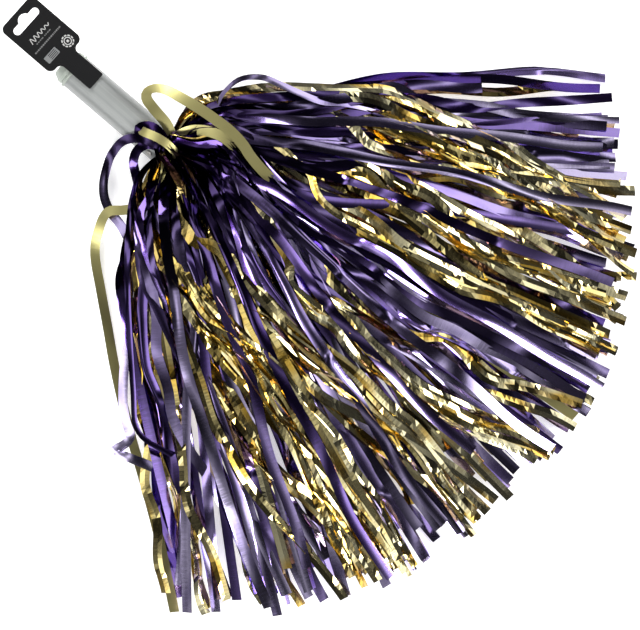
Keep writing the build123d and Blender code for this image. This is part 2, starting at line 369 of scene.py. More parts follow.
    # fine cross wrinkles of thin film
    tc = nt.nodes.new("ShaderNodeTexCoord")
    mp = nt.nodes.new("ShaderNodeMapping")
    mp.inputs["Scale"].default_value = wrinkle_scale
    ln.new(tc.outputs["UV"], mp.inputs["Vector"])
    add = nt.nodes.new("ShaderNodeVectorMath")
    add.operation = "ADD"
    sc = nt.nodes.new("ShaderNodeVectorMath")
    sc.operation = "SCALE"
    sc.inputs["Scale"].default_value = 37.0
    ln.new(at.outputs["Color"], sc.inputs[0])
    ln.new(mp.outputs["Vector"], add.inputs[0])
    ln.new(sc.outputs["Vector"], add.inputs[1])
    nz = nt.nodes.new("ShaderNodeTexNoise")
    nz.inputs["Scale"].default_value = 1.0
    nz.inputs["Detail"].default_value = 2.0
    ln.new(add.outputs["Vector"], nz.inputs["Vector"])
    bump = nt.nodes.new("ShaderNodeBump")
    bump.inputs["Strength"].default_value = wrinkle
    bump.inputs["Distance"].default_value = 0.0012
    ln.new(nz.outputs["Fac"], bump.inputs["Height"])
    ln.new(bump.outputs["Normal"], b.inputs["Normal"])
    return m


# the last three values of each film: the painted shade near the mouth (strength, end along the strip), its dark colour,
# and the coat IOR
MAT_PURPLE = film(
    "film_purple", (0.185, 0.095, 0.45), (0.075, 0.022, 0.27), (0.62, 0.54, 0.84), 0.11, 1.0, 0.03, (0.5, 34, 1),
    (0.08, 0.03, 0.26), 0.55, (0.96, 2.3), (0.020, 0.005, 0.062), 1.9,
)
MAT_GOLD = film(
    "film_gold", (0.72, 0.60, 0.26), (0.64, 0.46, 0.11), (0.78, 0.72, 0.46), 0.11, 0.12, 0.045, (0.5, 34, 1),
    (0.70, 0.42, 0.03), 0.8, (0.55, 1.7), (0.30, 0.20, 0.05), 1.5,
)


def plain(name, color, rough, metallic=0.0, noise=None, bump=None, coat=0.0):
    """A simple finish with a little procedural variation in its roughness and surface."""
    m, nt, b, ln = new_material(name)
    b.inputs["Base Color"].default_value = (*color, 1)
    b.inputs["Roughness"].default_value = rough
    b.inputs["Metallic"].default_value = metallic
    b.inputs["Coat Weight"].default_value = coat
    tc = nt.nodes.new("ShaderNodeTexCoord")
    nz = nt.nodes.new("ShaderNodeTexNoise")
    nz.inputs["Scale"].default_value = noise or 120.0
    nz.inputs["Detail"].default_value = 3.0
    ln.new(tc.outputs["Object"], nz.inputs["Vector"])
    mr = nt.nodes.new("ShaderNodeMapRange")
    mr.inputs["To Min"].default_value = max(0.02, rough * 0.8)
    mr.inputs["To Max"].default_value = min(1.0, rough * 1.2)
    ln.new(nz.outputs["Fac"], mr.inputs["Value"])
    ln.new(mr.outputs["Result"], b.inputs["Roughness"])
    if bump:
        bp = nt.nodes.new("ShaderNodeBump")
        bp.inputs["Strength"].default_value = bump
        bp.inputs["Distance"].default_value = 0.0003
        ln.new(nz.outputs["Fac"], bp.inputs["Height"])
        ln.new(bp.outputs["Normal"], b.inputs["Normal"])
    return m


def tube_material():
    """Milky grey plastic with faint bands along the tube."""
    m, nt, b, ln = new_material("tube_milky")
    b.inputs["Roughness"].default_value = 0.32
    b.inputs["Coat Weight"].default_value = 0.3
    b.inputs["Subsurface Weight"].default_value = 0.15
    b.inputs["Subsurface Radius"].default_value = (0.004, 0.004, 0.004)
    tc = nt.nodes.new("ShaderNodeTexCoord")
    mp = nt.nodes.new("ShaderNodeMapping")
    mp.inputs["Scale"].default_value = (1.5, 170.0, 170.0)
    ln.new(tc.outputs["Object"], mp.inputs["Vector"])
    nz = nt.nodes.new("ShaderNodeTexNoise")
    nz.inputs["Scale"].default_value = 1.0
    nz.inputs["Detail"].default_value = 2.0
    ln.new(mp.outputs["Vector"], nz.inputs["Vector"])
    ramp = nt.nodes.new("ShaderNodeValToRGB")
    ramp.color_ramp.elements[0].position = 0.3
    ramp.color_ramp.elements[0].color = (0.20, 0.21, 0.205, 1)
    ramp.color_ramp.elements[1].position = 0.7
    ramp.color_ramp.elements[1].color = (0.36, 0.375, 0.365, 1)
    ln.new(nz.outputs["Fac"], ramp.inputs["Fac"])
    ln.new(ramp.outputs["Color"], b.inputs["Base Color"])
    return m


MAT_TUBE = tube_material()
MAT_CAP = plain("cap_plastic", (0.37, 0.41, 0.36), 0.36, noise=160, bump=0.08)
MAT_CORE = plain("core_plastic", (0.28, 0.28, 0.27), 0.5, noise=90, bump=0.1)
MAT_RIVET = plain("rivet_metal", (0.32, 0.31, 0.29), 0.4, metallic=1.0, noise=300, bump=0.05)
MAT_CARD = plain("card_black", (0.006, 0.006, 0.0065), 0.42, noise=260, bump=0.12)
MAT_CARD.node_tree.nodes["Principled BSDF"].inputs["Specular IOR Level"].default_value = 0.16
MAT_PRINT = plain("card_print", (0.50, 0.50, 0.49), 0.5, noise=300)
MAT_PRINT_DIM = plain("card_print_dim", (0.16, 0.16, 0.16), 0.5, noise=300)
MAT_PAD = plain("adhesive_pad", (0.55, 0.55, 0.52), 0.7, noise=200, bump=0.1)
MAT_FOIL = plain("tag_foil", (0.34, 0.35, 0.35), 0.3, metallic=0.8, noise=700, bump=0.25)

NODE_LOOK = {
    "handle_tube": MAT_TUBE,
    "end_cap": MAT_CAP,
    "core_plug": MAT_CORE,
    "retaining_rivet": MAT_RIVET,
    "header_roll_gold": MAT_GOLD,
    "header_roll_purple": MAT_PURPLE,
    "tag_adhesive_pad": MAT_PAD,
    "tag_foil_label": MAT_FOIL,
}
for node, mat in NODE_LOOK.items():
    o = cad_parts[node]
    o.data.materials.clear()
    o.data.materials.append(mat)

# ---------------------------------------------------------------- streamers
layers = {}


def bundle(layer, colour):
    key = (layer, colour)
    if key not in layers:
        layers[key] = Bundle(f"streamers_{layer}_{colour}")
    return layers[key]


def heights(xy, z_layer, lift=0.0, start_z=None, wave=1.1):
    """Adds each point's height from its layer's profile, with a small slow wave."""
    ph1, ph2 = random.uniform(0, 2 * PI), random.uniform(0, 2 * PI)
    w1, w2 = random.uniform(130, 260), random.uniform(70, 110)
    out, s, prev = [], 0.0, None
    for x, y in xy:
        if prev is not None:
            s += math.hypot(x - prev[0], y - prev[1])
        prev = (x, y)
        r = math.hypot(x, y)
        z = layer_z(z_layer, r) + lift * min(1.0, max(0.0, (r - 60) / 60.0))
        grow = min(1.0, max(0.0, (r - 60) / 120.0))
        z += wave * grow * (math.sin(2 * PI * s / w1 + ph1) + 0.25 * math.sin(2 * PI * s / w2 + ph2))
        if start_z is not None:
            f = min(1.0, s / 45.0)
            f = f * f * (3 - 2 * f)
            z = start_z * (1 - f) + z * f
        out.append((x, y, max(z, 1.0)))
    return np.array(out)


def facets(length, spread, low=11, high=46, slope=3.5):
    """An angle that holds still over one flat facet and then turns sharply at a crease."""
    xs, ys = [0.0], [0.0]
    while xs[-1] < length:
        xs.append(xs[-1] + random.uniform(low, high))
        ys.append(ys[-1] + math.radians(random.uniform(-4, 4)))
        xs.append(xs[-1] + slope)
        ys.append(math.radians(random.uniform(-spread, spread)))
    return xs, ys


def gold_roll(length, spread=30, shared=None):
    """The streamer's own turning, on top of the one its hank shares."""
    xs, ys = facets(length, spread, 14, 56)
    lean = math.radians(random.gauss(0, 30)) if shared else 0.0
    rel = random.choice([-1, 1]) * random.uniform(20, 65)

    def roll(s):
        a = lerp_table(xs, ys, s) + math.radians(rel) * max(0.0, 1 - s / 110.0)
        if shared:
            a += smooth_table(*shared, s) + lean * min(1.0, s / 60.0)
        return a

    return roll


def gold_delta(length, segs, strength=34):
    """Folds along the strip between sharp creases across it."""
    tabs = [facets(length, strength, 12, 50) for _ in range(segs)]

    def delta(s, j):
        grow = min(1.0, 0.3 + s / 140.0)
        return grow * lerp_table(*tabs[j], s)

    return delta


def purple_roll(length, spread=26, turn=None):
    xs, ys = knots(length, 70, 180, math.radians(spread), start=math.radians(random.uniform(-spread, spread)))
    rel = turn if turn is not None else random.choice([-1, 1]) * random.uniform(35, 88)
    reach = random.uniform(90, 180)
    kinks = []
    if random.random() < 0.6:
        for _ in range(random.choice([1, 1, 2, 3])):
            kinks.append((random.uniform(0.3, 0.95) * length, math.radians(random.choice([-1, 1]) * random.uniform(14, 34))))

    def roll(s):
        a = smooth_table(xs, ys, s)
        for where, by in kinks:
            a += by * min(1.0, max(0.0, (s - where) / 4.0)) * max(0.0, 1.0 - max(0.0, s - where - 30.0) / 60.0)
        f = max(0.0, 1 - s / reach)
        return a + math.radians(rel) * f * f * (3 - 2 * f)

    return roll


def purple_delta(length, segs, camber=9, crinkle=10):
    c = random.uniform(-camber, camber)
    tabs = [knots(length, 9, 26, math.radians(crinkle)) for _ in range(segs)]
    fold = random.random() < 0.22
    side = random.choice([0, segs - 1])
    fa = math.radians(random.uniform(25, 60))
    where = random.uniform(0.2, 0.8) * length

    def delta(s, j):
        mid = (j - (segs - 1) / 2) / segs
        f = math.exp(-((s - 110) / 50.0) ** 2)
        a = math.radians(c) * 2 * mid + f * lerp_table(*tabs[j], s)
        if fold and j == side:
            a += fa * math.exp(-((s - where) / 60.0) ** 2)
        return a

    return delta


def alpha_of(theta):
    return lerp_table(
        [-90, -60, -45, -30, -20, -10, 0, 15, 30, 45, 55, 70, 100],
        [-112, -96, -66, -22, 16, 42, 54, 62, 70, 82, 92, 100, 118],
        theta,
    )


KNOT = (-3.0, 6.0)


def throat_start(z_layer):
    """Where a streamer comes out of the mouth, with its height there."""
    f = (z_layer - 1) / 6.0
    ang = random.uniform(-1, 1)
    y = 10.5 * ang * math.sqrt(max(0.05, 1 - (2 * f - 1) ** 2 * 0.75)) + 1.5
    z = 17.1 + 11.0 * (2 * f - 1) * 0.9
    return (-2.5, y), z


def clip_tip(xy, cut):
    """Cuts a path where its distance from the mouth passes the tip line, less cut."""
    out = []
    for x, y in xy:
        r = math.hypot(x, y)
        if out and r > tip_r(math.degrees(math.atan2(y, x))) - cut and r > 120:
            break
        out.append((x, y))
    return np.array(out)


def fill_strip(layer, colour, theta, cut, jit=12, z_off=0.0, swirl=1.0, start=None, lift=0.0):
    """A streamer on a smooth sweep from the mouth to its tip."""
    (x0, y0), z0 = throat_start(layer)
    if start is not None:
        x0, y0, z0 = start
    al = math.radians(alpha_of(theta) * swirl + random.uniform(-14, 14))
    r_tip = tip_r(theta) - cut
    t = polar(theta, r_tip)
    back = math.radians(theta * 0.8 + random.uniform(-5, 5))
    reach = random.uniform(38, 60)
    p1 = (x0 + reach * math.cos(al), y0 + reach * math.sin(al))
    d = random.uniform(190, 240)
    p2 = (t[0] - d * math.cos(back) + random.gauss(0, jit), t[1] - d * math.sin(back) + random.gauss(0, jit))
    xy = bezier((x0, y0), p1, p2, t)
    if colour == "gold":
        xy = wiggle(xy, 2.6, 60, 130)
    else:
        xy = wiggle(xy, 1.4, 90, 200)
    pts = heights(xy, layer + z_off, start_z=z0, lift=lift)
    add_strip(layer, colour, pts)


def wiggle(xy, amp, low, high):
    """Small sideways waves along a path, growing from the mouth."""
    w1, w2 = random.uniform(low, high), random.uniform(low, high)
    a, b = random.uniform(0, 2 * PI), random.uniform(0, 2 * PI)
    d = np.gradient(xy, axis=0)
    d /= np.linalg.norm(d, axis=1)[:, None] + 1e-9
    n = np.stack([-d[:, 1], d[:, 0]], axis=1)
    s = np.concatenate([[0], np.cumsum(np.linalg.norm(np.diff(xy, axis=0), axis=1))])
    g = np.clip((s - 30) / 100, 0, 1)
    off = amp * g * (np.sin(2 * PI * s / w1 + a) + 0.6 * np.sin(2 * PI * s / w2 + b))
    return xy + n * off[:, None]


def add_strip(layer, colour, pts, width=None, roll=None, delta=None, spread=None, strength=None, turn=None, shared=None):
    stop = next((i for i, p in enumerate(pts) if not (-320 < p[1] < 311 and p[0] < 446)), len(pts))
    pts = np.array(pts[: max(6, stop)])
    length = float(np.linalg.norm(np.diff(pts, axis=0), axis=1).sum())
    calm = strength is not None and strength <= 5
    segs = 2 if colour == "gold" else 4
    w = width or WIDTH * random.uniform(0.94, 1.04)
    if colour == "gold":
        ro = roll or gold_roll(length, spread=30 if spread is None else spread, shared=shared)
        de = delta or gold_delta(length, segs, 22 if strength is None else strength)
    else:
        ro = roll or purple_roll(length, spread=26 if spread is None else spread, turn=turn)
        de = delta or purple_delta(length, segs)
    bundle(layer, colour).strip(pts, ro, de, width=w, segs=segs, skew=random.uniform(-0.16, 0.16), split=colour == "gold" and not calm,
                                  soft=colour == "purple" or calm, matt=1.0 if colour == "gold" and calm else 0.0)


def traced(layer, colour, guide, n=1, band=0.0, cut=(0, 25), z_off=0.0, polar_in=True, to_tip=True,
           jit=2.0, start_alpha=None, lift=None, emerge=None, **kw):
    """n streamers along a traced guide, side by side over a band that is this wide."""
    g = [polar(*q) for q in guide] if polar_in else [tuple(q[:2]) for q in guide]
    shared = None
    if n > 1 and colour == "gold":
        shared = knots(600, 45, 110, math.radians(34), start=math.radians(random.uniform(-30, 30)))
        kw.setdefault("spread", 15)
        kw.setdefault("strength", 20)
    for k in range(n):
        off = 0 if n == 1 else band * (k / (n - 1) - 0.5)
        off += random.uniform(-1, 1) * band * 0.08
        (x0, y0), z0 = throat_start(layer)
        th_first = math.degrees(math.atan2(g[0][1], g[0][0]))
        al = math.radians(start_alpha if start_alpha is not None else alpha_of(th_first))
        al += math.radians(random.uniform(-8, 8))
        pts2 = [(x0, y0)]
        r_first = math.hypot(*g[0])
        if r_first > 60:
            reach = min(46.0, r_first * 0.5)
            pts2.append((x0 + reach * math.cos(al), y0 + reach * math.sin(al)))
        ga = np.array(g, float)
        d = np.gradient(ga, axis=0)
        d /= np.linalg.norm(d, axis=1)[:, None] + 1e-9
        nrm = np.stack([-d[:, 1], d[:, 0]], axis=1)
        side = ga + nrm * off
        side += np.array([[random.gauss(0, jit), random.gauss(0, jit)] for _ in g])
        pts2 += [tuple(q) for q in side]
        if to_tip:
            a, b = side[-2], side[-1]
            d2 = (b - a) / (np.linalg.norm(b - a) + 1e-9)
            rad = b / np.linalg.norm(b)
            q = np.array(b)
            for _ in range(12):
                if np.linalg.norm(q) > 445:
                    break
                d2 = d2 * 0.8 + rad * 0.2
                d2 /= np.linalg.norm(d2)
                q = q + d2 * 35
                pts2.append(tuple(q))
        xy = catmull(pts2)
        if to_tip:
            xy = clip_tip(xy, random.uniform(*cut))
        if colour == "gold" and n > 1:
            xy = wiggle(xy, 1.0, 60, 140)
        zz = z_off + random.uniform(-0.12, 0.12)
        if lift is None and layer == 6:
            up = 3.0 + (z_off * 3) + random.uniform(-1.2, 1.2)
            low = heights(xy, 6, start_z=z0)
            r0 = emerge if emerge is not None else math.hypot(*g[0])
            r0 += random.uniform(-8, 34) if n > 1 else 0.0
            f = np.clip((np.hypot(low[:, 0], low[:, 1]) - r0 + 44) / 56, 0, 1)
            f = f * f * (3 - 2 * f)
            top = np.array([layer_z(7, math.hypot(q[0], q[1])) + up for q in low])
            low[:, 2] = low[:, 2] * (1 - f) + top * f
            pts = low
        else:
            pts = heights(xy, layer + zz, start_z=z0, lift=lift or 0.0)
        add_strip(layer, colour, pts, shared=shared, **kw)


# --- under and middle layers: even fans
def fan(layer, colour, n, low=-56, high=53, cut=(2, 34), z_spread=0.2):
    for k in range(n):
        v = 2 * (k + 0.5) / n - 1
        th = (low + high) / 2 + (high - low) / 2 * v * (0.78 + 0.22 * v * v) + random.uniform(-2.2, 2.2)
        fill_strip(layer, colour, th, random.uniform(*cut), z_off=random.uniform(-z_spread, z_spread))


fan(1, "purple", 25, low=-39.5, high=46, z_spread=0.0, cut=(2, 44))
fan(2, "gold", 20, low=-40, high=45, cut=(2, 60))
fan(3, "purple", 25, low=-39, high=45, cut=(2, 50))
fan(4, "gold", 18, low=-41, high=45, cut=(2, 60))
fan(5, "purple", 27, low=-39.5, high=45, cut=(2, 50))
fan(6, "gold", 6, low=-42, high=44, cut=(10, 90))
fan(7, "purple", 15, low=-38, high=44, cut=(0, 50))
for th, cut in [(-37, 12), (-31, 40), (-22, 8), (-13, 26), (-4, 60), (3, 10), (12, 4), (24, 22), (33, 8), (41, 30)]:
    fill_strip(7, "purple", th, cut, lift=random.uniform(6, 8))
# loose ones at the two sides, with gaps between them
for lay, col, th, cut in [
    (1, "purple", -49.5, 40), (1, "purple", -48, 14), (2, "gold", -47.5, 60), (4, "gold", -50, 18),
    (2, "gold", -44.6, 8), (3, "purple", -43.5, 6), (4, "gold", -46, 110), (5, "purple", -42, 20),
    (1, "purple", 50.5, 12), (3, "purple", 49, 20), (2, "gold", 50, 60), (5, "purple", 52.5, 120),
    (2, "gold", -44.5, 4),
]:
    fill_strip(lay, col, th, cut, jit=5)

# --- gold hanks on top
G6 = dict(layer=6, colour="gold")
H1 = [(-44.3, 108), (-39.3, 128), (-35, 151), (-30.4, 174), (-26.8, 203), (-25, 229)]
H1b = [(-45, 128), (-39.3, 147), (-35, 174), (-32.1, 203), (-27.5, 249), (-25, 281)]
H2 = [(-44, 150), (-40, 190), (-36.4, 223), (-34, 262), (-31.4, 295), (-28.6, 331), (-26, 380)]
H2b = [(-42, 180), (-38, 215), (-34.6, 249), (-29.3, 304), (-25, 347), (-23.9, 389)]
S4g = [(-47, 140), (-44, 180), (-41.4, 206), (-40, 242), (-38.6, 272), (-36, 301), (-32.9, 337), (-30.7, 367), (-28.9, 396)]
H3 = [(-37.5, 74), (-30.4, 85), (-25, 95), (-22.1, 134)]
H4 = [(-36.4, 128), (-32.1, 144), (-28.6, 177), (-26.8, 200)]
H5p = [(-19.6, 92), (-23.2, 134), (-23.6, 167), (-22.9, 216)]
H5q = [(-25, 150), (-25, 213), (-22.9, 249), (-21.8, 278)]
H5 = [(-19.6, 128), (-19.6, 151), (-16.8, 177), (-13.6, 216), (-11.1, 255), (-9.6, 304), (-9.3, 324), (-9.5, 383)]
H5l = [(-21, 130), (-20.4, 170), (-17.9, 242), (-14.3, 308), (-10.7, 380)]
H5t = [(-19, 200), (-17.3, 255), (-10, 324)]
H6 = [(-5, 160), (-5.4, 190), (-3.6, 216), (-5, 249), (-3.6, 298), (-2.1, 347), (1.4, 412)]
H6b = [(0.7, 174), (0.7, 203), (2.1, 262), (3.6, 282), (5.4, 298), (4.6, 347), (6.1, 380)]
H7 = [(10, 94), (5.4, 107), (1.4, 125), (-2.1, 144), (-5, 157), (-5.4, 190), (-4, 230), (-4, 290)]
H8 = [(20, 140), (18.9, 183), (17.1, 216), (16.1, 249), (16.4, 282), (16.8, 314), (16.4, 429)]
H8b = [(26, 140), (22.5, 187), (18.9, 229), (18, 270)]
H9 = [(30, 160), (25.7, 213), (22.9, 242), (20.7, 268), (18.9, 298), (17.9, 331)]
H10 = [(41.4, 100), (35, 115), (30, 125), (25, 139), (21.8, 151), (18, 185)]
H11 = [(37.1, 160), (35, 183), (31.1, 203), (28.6, 232), (23.2, 288), (22, 340)]
H11l = [(36, 190), (32.1, 229), (28.6, 272), (26.8, 308), (24.3, 347), (22.5, 373)]
H11b = [(28, 250), (25, 298), (22.5, 314), (21.8, 344)]
H11c = [(30, 300), (26.8, 357), (24.3, 393), (25.4, 425)]
H12 = [(52.9, 180), (48.9, 206), (45.4, 232), (42.1, 262), (39.3, 288), (36.4, 314), (34.3, 340), (32.1, 367), (30.4, 396)]
H13 = [(52.9, 157), (49.3, 170), (45.4, 180), (42.1, 197), (40, 219), (38, 260)]

traced(6, "gold", H1, n=6, band=22, z_off=0.25)
traced(6, "gold", H1b, n=2, band=9, emerge=150)
traced(6, "gold", H2, n=2, band=8, emerge=205)
traced(6, "gold", H2b, n=1, emerge=235)
traced(6, "gold", S4g, n=1)
traced(6, "gold", H3, n=1, z_off=0.45, strength=10, spread=10, width=10.5)
traced(6, "gold", H4, n=2, band=7, z_off=0.4)
traced(6, "gold", H5p, n=1, z_off=0.35, strength=12, spread=12)
traced(6, "gold", H5q, n=1, z_off=0.35, strength=12, spread=12, emerge=200)
traced(6, "gold", H5, n=5, band=20, z_off=0.2)
traced(6, "gold", H5l, n=1, emerge=165)
traced(6, "gold", H5t, n=1, z_off=0.45, strength=8, spread=8, emerge=240)
traced(6, "gold", H6, n=4, band=16, z_off=0.1)
traced(6, "gold", H6b, n=2, band=10, z_off=0.1)
traced(6, "gold", H7, n=1, z_off=0.45, strength=10, spread=10)
traced(6, "gold", H8, n=2, band=9, z_off=0.1, emerge=180)
traced(6, "gold", H8b, n=1, z_off=0.2, emerge=180)
traced(6, "gold", H9, n=1, z_off=0.2, emerge=205)
traced(6, "gold", H10, n=1, z_off=0.5, strength=20, spread=20, width=7)
traced(6, "gold", H11, n=3, band=13, z_off=0.3)
traced(6, "gold", H11l, n=1, z_off=0.2, emerge=225)
traced(6, "gold", H11b, n=1, z_off=0.2, emerge=295)
traced(6, "gold", H11c, n=1, z_off=0.2, emerge=350)
traced(6, "gold", H12, n=7, band=32, z_off=0.2)
traced(6, "gold", H13, n=2, band=9, z_off=0.25)

# --- purple streamers on top
P_S4 = [(-53.9, 102), (-50, 118), (-47.1, 144), (-44.6, 170), (-42.1, 193), (-41, 216)]
traced(7, "purple", P_S4, n=1)
traced(7, "purple", [(-7.1, 98), (-10.7, 112), (-13.6, 134), (-15, 157)], n=1)
traced(7, "purple", [(-5, 151), (-8.9, 177), (-13.2, 193), (-16, 230)], n=1)
traced(7, "purple", [(-6.4, 177), (-12.5, 210), (-17.5, 249), (-21.4, 282)], n=1)
traced(7, "purple", [(-6.4, 216), (-8.9, 268), (-10, 340)], n=2, band=12)
traced(7, "purple", [(-3, 200), (-3, 300)], n=1)
traced(7, "purple", [(0, 200), (1.1, 301), (1.4, 350), (2.1, 396)], n=1)
traced(7, "purple", [(5.4, 150), (3.2, 177), (2.1, 203)], n=1)
traced(7, "purple", [(7.1, 177), (4.6, 216), (3.6, 232)], n=1)
traced(7, "purple", [(13.6, 105), (10.7, 144), (8.9, 177), (7.9, 216), (7.1, 268), (8.2, 301), (8.6, 340)], n=2, band=10)
traced(7, "purple", [(16.1, 128), (13.6, 167), (11.8, 206), (10.4, 249), (11, 301)], n=2, band=9)
traced(7, "purple", [(19.3, 112), (17.1, 141), (15.7, 183), (14.6, 232), (14.3, 291), (13.9, 347), (14.3, 429)], n=2, band=10)
traced(7, "purple", [(70, 56), (61.4, 85), (57.1, 108), (55, 141), (55.4, 177), (53.9, 203), (50.7, 223), (48.9, 249), (47.1, 281), (45.7, 314), (43.6, 399)], n=3, band=12, start_alpha=95)
traced(7, "purple", [(75, 40), (82, 58), (87.5, 71), (86, 87), (78, 103), (72.5, 116), (65, 125), (59.6, 144), (56, 160), (50, 215), (46, 300), (44.5, 390)], n=1, start_alpha=105, width=6)
traced(7, "purple", [(51.8, 232), (50.5, 250), (49.5, 262), (47.9, 275), (48.6, 314), (48.6, 357)], n=1)
traced(7, "purple", [(37.9, 85), (39.6, 134), (40.4, 177), (40, 240)], n=2, band=9)
traced(7, "purple", [(35.4, 102), (36.1, 151), (36.8, 216), (37.9, 265)], n=1)
traced(7, "purple", [(48.9, 118), (46.8, 150), (45, 230)], n=1)
traced(7, "purple", [(14, 26), (29.5, 31.2), (40.7, 29), (53.3, 21.1), (69.8, 6), (97, -12), (130, -31.5), (151.6, -40.6)], n=2, band=9, polar_in=False)
traced(7, "purple", [(10.2, -6.5), (27.4, -12.8), (46, -25), (60.2, -37.4), (90, -55)], n=2, band=9, polar_in=False)
traced(7, "purple", [(3.5, -12.2), (7.9, -26), (13.2, -41.4), (22.6, -56.8), (33.1, -70.8), (60, -93), (88, -108), (124, -124), (165, -142)], n=2, band=9, polar_in=False)

def shaped(layer, colour, pts, on=None, cut=10, **kw):
    """A streamer through points given in three dimensions, and then on through plan points to its tip on its layer."""
    q = [np.array(p, float) for p in pts]
    if on:
        for x, y in on:
            q.append(np.array([x, y, layer_z(min(7, layer), math.hypot(x, y)) + 0.5]))
        a, b = q[-2][:2], q[-1][:2]
        d = (b - a) / (np.linalg.norm(b - a) + 1e-9)
        p = b.copy()
        while np.linalg.norm(p) < 445:
            d = d * 0.8 + 0.2 * p / np.linalg.norm(p)
            d /= np.linalg.norm(d)
            p = p + d * 35
            q.append(np.array([p[0], p[1], layer_z(min(7, layer), float(np.linalg.norm(p))) + 0.5]))
    path = catmull(q, 3.5)
    if on:
        keep = []
        for p in path:
            r = math.hypot(p[0], p[1])
            if r > 120 and r > tip_r(math.degrees(math.atan2(p[1], p[0]))) - cut:
                break
            keep.append(p)
        path = np.array(keep)
    add_strip(layer, colour, path, **kw)


def still(a=0.0, b=0.0, reach=60.0):
    """A steady roll: a degrees at the start, turning to b degrees."""
    def roll(s):
        f = min(1.0, s / reach)
        return math.radians(a + (b - a) * f * f * (3 - 2 * f))
    return roll


# --- long stray streamers on the left side
shaped(6, "gold", [(0, -3, 26), (14, -22, 34), (18, -46, 36), (5, -64, 30), (-6, -76, 22), (-1, -95, 14), (8, -110, 9), (36, -134, 7), (62, -155, 8), (89, -177, 10), (134, -210, 10), (175, -237, 9), (214, -264, 7), (270, -307, 4)], strength=2, roll=still(0, 10, 300))
shaped(7, "purple", [(2, 0, 27), (-4, -2, 36), (-13.5, -3.4, 38.5), (-22, -4.8, 38), (-29.3, -9.9, 35), (-35.1, -16.8, 30), (-37.2, -23.6, 25), (-37.1, -29.4, 20), (-36.2, -37, 15), (-31.6, -48.3, 12), (-25.9, -58.5, 11), (-16.6, -68.1, 12), (-3.4, -74.3, 15), (8, -76.3, 17), (21.5, -81.1, 18), (31.3, -85.6, 17), (52.5, -120, 14), (79.8, -145.7, 11), (90, -164, 11), (115, -196, 12), (128, -207, 12.5), (139.3, -214.3, 13), (139, -224, 13.5), (135.5, -232, 14.5), (143, -231, 16), (155, -227, 16), (171.5, -221.7, 14)], width=8.5, roll=still(10, -12, 120))
shaped(7, "purple", [(3, 0, 27), (-4, -2, 35), (-16.9, -6.3, 36.5), (-20.7, -13.1, 33), (-21.2, -19.4, 28), (-17.2, -27.7, 22), (-10.1, -33.3, 19), (-1.2, -39.6, 18), (8.2, -45.7, 20), (15, -51.6, 22), (21.8, -60.9, 23), (27.4, -70.2, 23), (31.6, -81.9, 22), (44, -99, 19), (58, -121, 17), (78, -142, 15), (112, -174, 12), (152, -202, 9), (200, -236, 6), (238, -262, 5)], width=8.5, roll=still(12, 35, 160))
shaped(3, "purple", [(2, -5, 15), (5, -26, 20), (10, -52, 19), (20, -76, 17), (34, -100, 14), (60, -128, 10), (92, -153, 8), (128, -178, 7), (165, -200, 6), (206, -222, 5)], roll=still(70, 12, 120))
shaped(7, "purple", [(3, -3, 25), (10, -20, 36), (20, -42, 41), (26, -62, 38), (30, -84, 33), (40, -112, 29), (74, -142, 24), (120, -178, 19), (180, -222, 15), (250, -272, 12)], roll=still(80, 20, 150))
traced(5, "purple", [(40.7, -67.7), (58.2, -99.2), (79.6, -128.3), (110.7, -158), (132.7, -170.4), (160, -190.7), (181.9, -206.3), (206.3, -222)], polar_in=False, to_tip=False, jit=0.5)
traced(7, "purple", [(-56, 144), (-52.9, 177), (-50, 210), (-47.5, 236), (-45, 265), (-43.2, 282)], n=1)
traced(5, "purple", [(-46, 240), (-44.3, 282), (-46.8, 311), (-47.5, 347), (-47.9, 383)], to_tip=False, width=6)
traced(6, "gold", [(-46.5, 270), (-45.7, 314), (-43.6, 360), (-42.9, 380)], n=1)
traced(7, "purple", [(-58, 215), (-55.4, 250), (-48.6, 268)], to_tip=False, width=5)

# --- loops round the mouth
shaped(6, "gold", [(0, 4, 24), (-4, 10, 34), (-15.7, 17, 38), (-33.7, 20.2, 42), (-44.3, 22.9, 48), (-47.4, 27.3, 52), (-45.1, 33.5, 55), (-36.5, 39.4, 57), (-20.7, 43.2, 58), (-3.4, 46.3, 58), (14.6, 48.2, 57.5), (29.3, 49.1, 57), (45.9, 47.5, 56), (58, 44, 54), (78, 41, 50)], on=[(120, 42), (200, 40)], strength=1, roll=still(0, 0), width=9.6)
shaped(6, "gold", [(1, 5, 25), (-2, 15, 36), (4.4, 27.7, 44), (14.9, 35.8, 49), (28.3, 40.7, 51), (40.3, 41.4, 51), (55, 41, 50.5), (70, 37, 49)], on=[(110, 30), (190, 20)], strength=1, roll=still(0, 0), width=9.6)
shaped(6, "gold", [(2, 0, 26), (8, 3, 37), (2, 4, 42), (-8, 4, 44.5), (-18, 2, 44.5), (-27, -1, 42), (-31, -1, 38), (-29, 3, 35.5), (-33.3, 6.3, 35)], strength=1, roll=still(0, 0), width=8)
shaped(7, "purple", [(0, -2, 27), (-4, 2, 37), (-12, 7, 41), (-22, 8, 42), (-30, 4, 40), (-33, -3, 37), (-25, -7, 35.5)], roll=still(0, 0), width=8)
shaped(7, "purple", [(3, 4, 27), (6, 14, 36), (2, 27, 42), (10, 40, 48), (32, 54, 52), (60, 64, 49)], on=[(95, 92), (140, 120), (200, 160)], roll=still(55, 15, 100), width=8)
